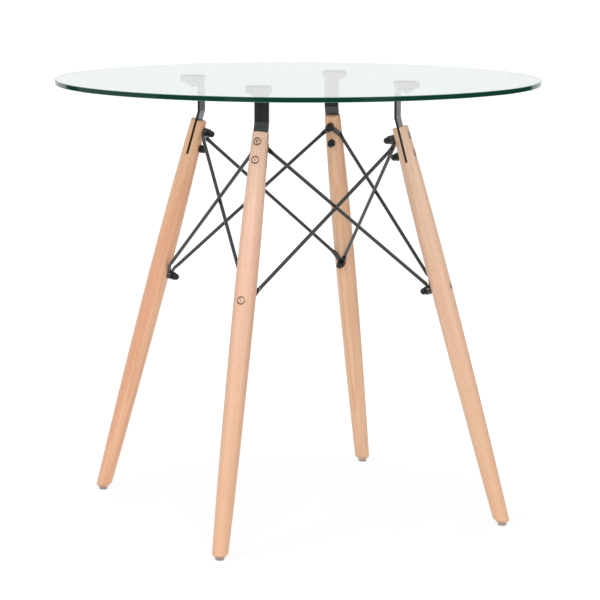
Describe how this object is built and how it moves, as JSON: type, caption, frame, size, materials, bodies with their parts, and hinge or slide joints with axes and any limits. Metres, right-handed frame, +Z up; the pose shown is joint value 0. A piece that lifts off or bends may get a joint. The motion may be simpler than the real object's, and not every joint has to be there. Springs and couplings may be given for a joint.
{
  "type": "round table",
  "caption": "Round dining table with a clear glass top on rubber pads, bent steel brackets, splayed turned beech legs and crossed steel brace rods.",
  "frame": {"origin": "on the floor, under the middle of the table", "axes": "+Z up; the front faces -Y; the legs stand on the diagonals of X and Y"},
  "size_m": [0.7999, 0.7999, 0.727],
  "materials": {
    "clear_glass": "polished float glass",
    "beech": "satin clear lacquer",
    "black_steel": "satin black powder coat",
    "pad_rubber": "matt black",
    "glide_plastic": "off-white polyethylene",
    "plated_steel": "nickel plated"
  },
  "bodies": {
    "root": {"glass_top": "clear_glass", "leg_back_right": "beech", "leg_back_left": "beech", "leg_front_left": "beech", "leg_front_right": "beech", "bracket_back_right": "black_steel", "bracket_back_left": "black_steel", "bracket_front_left": "black_steel", "bracket_front_right": "black_steel", "brace_back_outer": "black_steel", "brace_back_inner": "black_steel", "brace_left_outer": "black_steel", "brace_left_inner": "black_steel", "brace_front_outer": "black_steel", "brace_front_inner": "black_steel", "brace_right_outer": "black_steel", "brace_right_inner": "black_steel", "upper_cap_nuts": "black_steel", "middle_cap_nuts": "black_steel", "lower_cap_nuts": "black_steel", "glass_pad_back_right": "pad_rubber", "glass_pad_back_left": "pad_rubber", "glass_pad_front_left": "pad_rubber", "glass_pad_front_right": "pad_rubber", "foot_glide_back_right": "glide_plastic", "foot_glide_back_left": "glide_plastic", "foot_glide_front_left": "glide_plastic", "foot_glide_front_right": "glide_plastic", "upper_bolts": "plated_steel", "middle_bolts": "plated_steel", "lower_bolts": "plated_steel", "pad_screws": "black_steel", "pad_nuts": "black_steel", "glide_nails": "plated_steel"}
  },
  "joints": []
}
